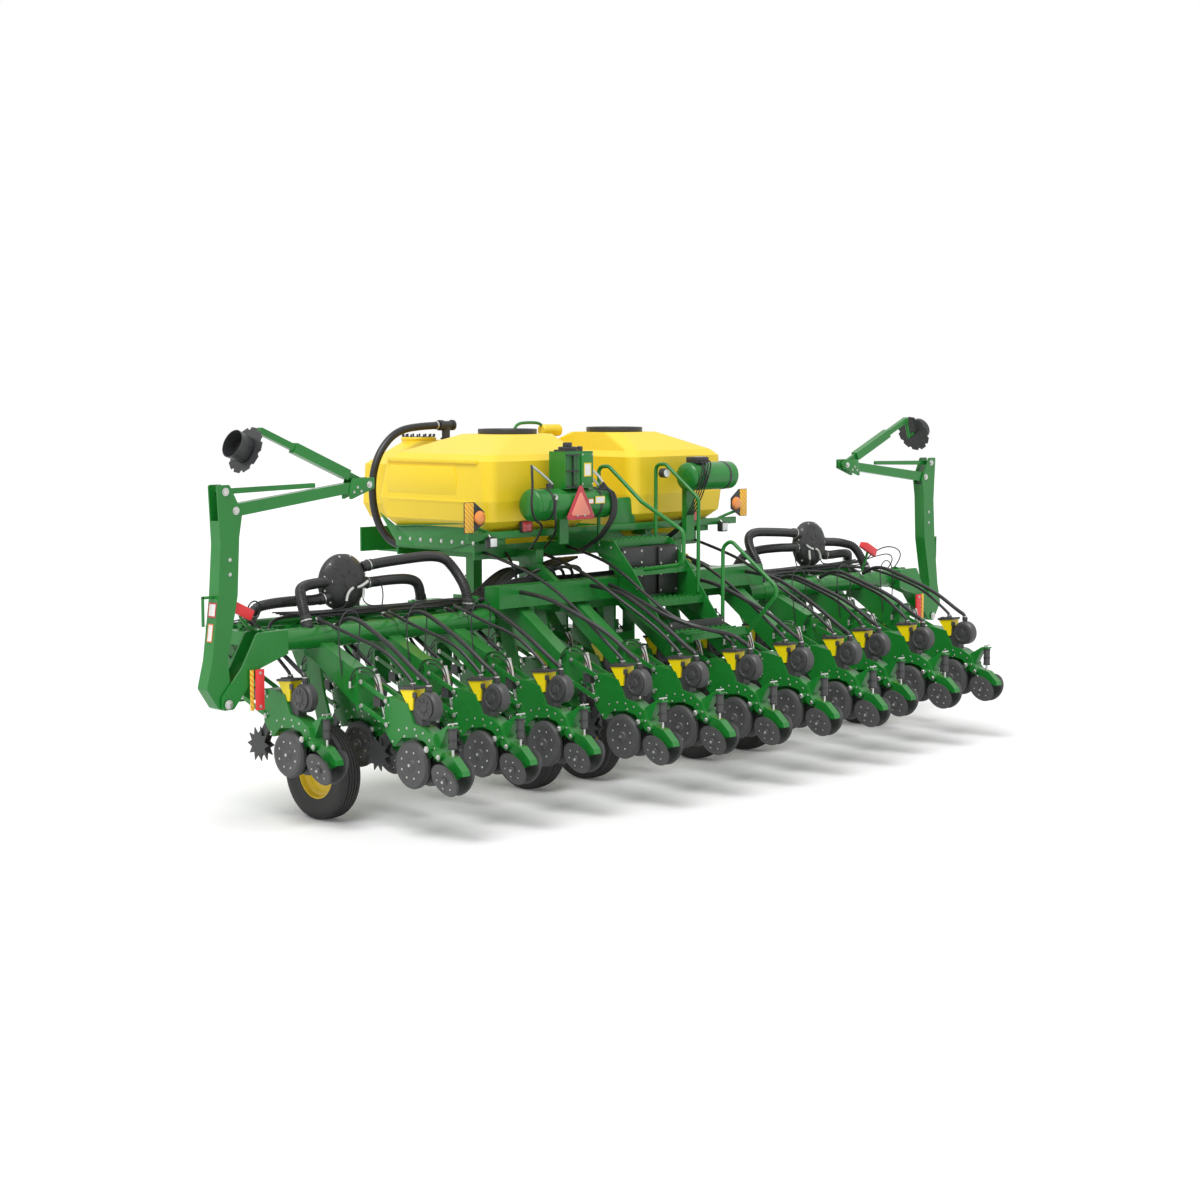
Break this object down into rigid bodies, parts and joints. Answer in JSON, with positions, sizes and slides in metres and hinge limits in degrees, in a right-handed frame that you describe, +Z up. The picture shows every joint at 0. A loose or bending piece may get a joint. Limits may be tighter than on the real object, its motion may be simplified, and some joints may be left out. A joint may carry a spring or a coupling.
{
  "type": "pull-type front-fold row crop planter",
  "caption": "Towed row crop planter with two ranks of row units, wings that swing forward, seed tanks on the centre frame, stairs, and folded row markers on the wing ends.",
  "frame": {"origin": "on the ground, at the middle of the machine's bounding box", "axes": "+X to the machine's right across the rows, +Y forward along the tongue, +Z up"},
  "size_m": [10.2334, 6.528, 3.4015],
  "materials": {
    "green_enamel": "gloss enamel",
    "yellow_plastic": "moulded, satin",
    "black_plastic": "moulded",
    "dark_rubber": "matt",
    "tyre": "matt",
    "yellow_enamel": "gloss enamel",
    "dark_steel": "black enamel on steel",
    "white_enamel": "gloss enamel"
  },
  "bodies": {
    "frame": {"centre_row_units": "green_enamel", "centre_hoppers": "yellow_plastic", "centre_meters": "black_plastic", "centre_struts": "white_enamel", "centre_openers": "dark_steel", "centre_closing_wheels": "dark_rubber", "centre_frame": "green_enamel", "tank_cradle": "green_enamel", "rear_tanks": "yellow_plastic", "front_tank": "yellow_plastic", "stairs": "green_enamel", "mud_panel": "black_plastic", "oil_reservoir": "green_enamel", "air_tank": "green_enamel"},
    "left_wing": {"left_wing_frame": "green_enamel", "left_row_units": "green_enamel", "left_hoppers": "yellow_plastic", "left_meters": "black_plastic", "left_struts": "white_enamel", "left_openers": "dark_steel", "left_closing_wheels": "dark_rubber"},
    "left_wing_wheel": {"left_wing_tyre": "tyre", "left_wing_rim": "yellow_enamel"},
    "left_centre_wheels": {"left_centre_tyres": "tyre", "left_centre_rims": "yellow_enamel"},
    "left_marker_post": {"left_marker_post": "green_enamel"},
    "left_marker_arm": {"left_marker_arm": "green_enamel"},
    "left_marker_tip": {"left_marker_tip": "green_enamel"},
    "left_marker_link": {"left_marker_link": "green_enamel"},
    "left_marker_disc": {"left_marker_disc": "dark_steel"},
    "left_tank_lid": {"left_tank_lid": "black_plastic"},
    "right_wing": {"right_wing_frame": "green_enamel", "right_row_units": "green_enamel", "right_hoppers": "yellow_plastic", "right_meters": "black_plastic", "right_struts": "white_enamel", "right_openers": "dark_steel", "right_closing_wheels": "dark_rubber"},
    "right_wing_wheel": {"right_wing_tyre": "tyre", "right_wing_rim": "yellow_enamel"},
    "right_centre_wheels": {"right_centre_tyres": "tyre", "right_centre_rims": "yellow_enamel"},
    "right_marker_post": {"right_marker_post": "green_enamel"},
    "right_marker_arm": {"right_marker_arm": "green_enamel"},
    "right_marker_tip": {"right_marker_tip": "green_enamel"},
    "right_marker_link": {"right_marker_link": "green_enamel"},
    "right_marker_disc": {"right_marker_disc": "dark_steel"},
    "right_tank_lid": {"right_tank_lid": "black_plastic"},
    "left_front_gauge_wheels": {"left_front_gauge_wheels": "dark_rubber"},
    "left_rear_gauge_wheels": {"left_rear_gauge_wheels": "dark_rubber"},
    "centre_front_gauge_wheels": {"centre_front_gauge_wheels": "dark_rubber"},
    "centre_rear_gauge_wheels": {"centre_rear_gauge_wheels": "dark_rubber"},
    "right_front_gauge_wheels": {"right_front_gauge_wheels": "dark_rubber"},
    "right_rear_gauge_wheels": {"right_rear_gauge_wheels": "dark_rubber"},
    "tongue": {"tongue": "green_enamel"},
    "jack": {"jack_leg": "dark_steel"}
  },
  "joints": [
    {"name": "left_wing_fold", "type": "hinge", "parent": "frame", "child": "left_wing", "pos_m": [-1.93, -0.272, 1.59], "axis": [0, 0, -1], "range_deg": [0, 90]},
    {"name": "left_wing_wheel_turn", "type": "hinge", "parent": "left_wing", "child": "left_wing_wheel", "pos_m": [-3.81, -1.194, 0.417], "axis": [-1, 0, 0], "continuous": true},
    {"name": "left_centre_wheels_turn", "type": "hinge", "parent": "frame", "child": "left_centre_wheels", "pos_m": [-1.171, -1.433, 0.417], "axis": [-1, 0, 0], "continuous": true},
    {"name": "left_marker_swing", "type": "hinge", "parent": "left_wing", "child": "left_marker_post", "pos_m": [-4.929, -1.287, 1.133], "axis": [0, -1, 0], "range_deg": [0, 85]},
    {"name": "left_marker_unfold", "type": "hinge", "parent": "left_marker_post", "child": "left_marker_arm", "pos_m": [-4.8, -1.287, 2.72], "axis": [0, -1, 0], "range_deg": [0, 88.5]},
    {"name": "left_marker_tip_unfold", "type": "hinge", "parent": "left_marker_arm", "child": "left_marker_tip", "pos_m": [-3.37, -1.287, 2.891], "axis": [0, -1, 0], "range_deg": [-149.5, 0]},
    {"name": "left_marker_link_turn", "type": "hinge", "parent": "left_marker_post", "child": "left_marker_link", "pos_m": [-4.902, -1.287, 2.878], "axis": [0, -1, 0], "range_deg": [0, 93.7]},
    {"name": "left_marker_disc_turn", "type": "hinge", "parent": "left_marker_tip", "child": "left_marker_disc", "pos_m": [-4.645, -1.287, 3.212], "axis": [-0.9206, 0, 0.3904], "continuous": true},
    {"name": "left_tank_lid_open", "type": "hinge", "parent": "frame", "child": "left_tank_lid", "pos_m": [-0.759, -0.033, 3.301], "axis": [-1, 0, 0], "range_deg": [0, 100]},
    {"name": "right_wing_fold", "type": "hinge", "parent": "frame", "child": "right_wing", "pos_m": [1.93, -0.272, 1.59], "axis": [0, 0, 1], "range_deg": [0, 90]},
    {"name": "right_wing_wheel_turn", "type": "hinge", "parent": "right_wing", "child": "right_wing_wheel", "pos_m": [3.81, -1.194, 0.417], "axis": [-1, 0, 0], "continuous": true},
    {"name": "right_centre_wheels_turn", "type": "hinge", "parent": "frame", "child": "right_centre_wheels", "pos_m": [1.171, -1.433, 0.417], "axis": [-1, 0, 0], "continuous": true},
    {"name": "right_marker_swing", "type": "hinge", "parent": "right_wing", "child": "right_marker_post", "pos_m": [4.929, -1.287, 1.133], "axis": [0, 1, 0], "range_deg": [0, 85]},
    {"name": "right_marker_unfold", "type": "hinge", "parent": "right_marker_post", "child": "right_marker_arm", "pos_m": [4.8, -1.287, 2.72], "axis": [0, 1, 0], "range_deg": [0, 88.5]},
    {"name": "right_marker_tip_unfold", "type": "hinge", "parent": "right_marker_arm", "child": "right_marker_tip", "pos_m": [3.37, -1.287, 2.891], "axis": [0, 1, 0], "range_deg": [-149.5, 0]},
    {"name": "right_marker_link_turn", "type": "hinge", "parent": "right_marker_post", "child": "right_marker_link", "pos_m": [4.902, -1.287, 2.878], "axis": [0, 1, 0], "range_deg": [0, 93.7]},
    {"name": "right_marker_disc_turn", "type": "hinge", "parent": "right_marker_tip", "child": "right_marker_disc", "pos_m": [4.645, -1.287, 3.212], "axis": [0.9206, 0, 0.3904], "continuous": true},
    {"name": "right_tank_lid_open", "type": "hinge", "parent": "frame", "child": "right_tank_lid", "pos_m": [0.759, -0.033, 3.301], "axis": [-1, 0, 0], "range_deg": [0, 100]},
    {"name": "left_front_gauge_wheels_turn", "type": "hinge", "parent": "left_wing", "child": "left_front_gauge_wheels", "pos_m": [-3.048, -1.359, 0.639], "axis": [-1, 0, 0], "continuous": true},
    {"name": "left_rear_gauge_wheels_turn", "type": "hinge", "parent": "left_wing", "child": "left_rear_gauge_wheels", "pos_m": [-3.048, -2.497, 0.639], "axis": [-1, 0, 0], "continuous": true},
    {"name": "centre_front_gauge_wheels_turn", "type": "hinge", "parent": "frame", "child": "centre_front_gauge_wheels", "pos_m": [0, -1.359, 0.639], "axis": [-1, 0, 0], "continuous": true},
    {"name": "centre_rear_gauge_wheels_turn", "type": "hinge", "parent": "frame", "child": "centre_rear_gauge_wheels", "pos_m": [0, -2.717, 0.639], "axis": [-1, 0, 0], "continuous": true},
    {"name": "right_front_gauge_wheels_turn", "type": "hinge", "parent": "right_wing", "child": "right_front_gauge_wheels", "pos_m": [3.048, -1.359, 0.639], "axis": [-1, 0, 0], "continuous": true},
    {"name": "right_rear_gauge_wheels_turn", "type": "hinge", "parent": "right_wing", "child": "right_rear_gauge_wheels", "pos_m": [3.048, -2.497, 0.639], "axis": [-1, 0, 0], "continuous": true},
    {"name": "tongue_extend", "type": "slide", "parent": "frame", "child": "tongue", "axis": [0, 1, 0], "range_m": [0, 1.2]},
    {"name": "jack_raise", "type": "slide", "parent": "tongue", "child": "jack", "axis": [0, 0, 1], "range_m": [0, 0.5]}
  ],
  "couplings": [
    {"joint": "left_marker_unfold", "follows": "left_marker_swing", "ratio": 1.0412},
    {"joint": "left_marker_tip_unfold", "follows": "left_marker_swing", "ratio": -1.7588},
    {"joint": "left_marker_link_turn", "follows": "left_marker_swing", "ratio": 1.1024},
    {"joint": "right_marker_unfold", "follows": "right_marker_swing", "ratio": 1.0412},
    {"joint": "right_marker_tip_unfold", "follows": "right_marker_swing", "ratio": -1.7588},
    {"joint": "right_marker_link_turn", "follows": "right_marker_swing", "ratio": 1.1024}
  ]
}
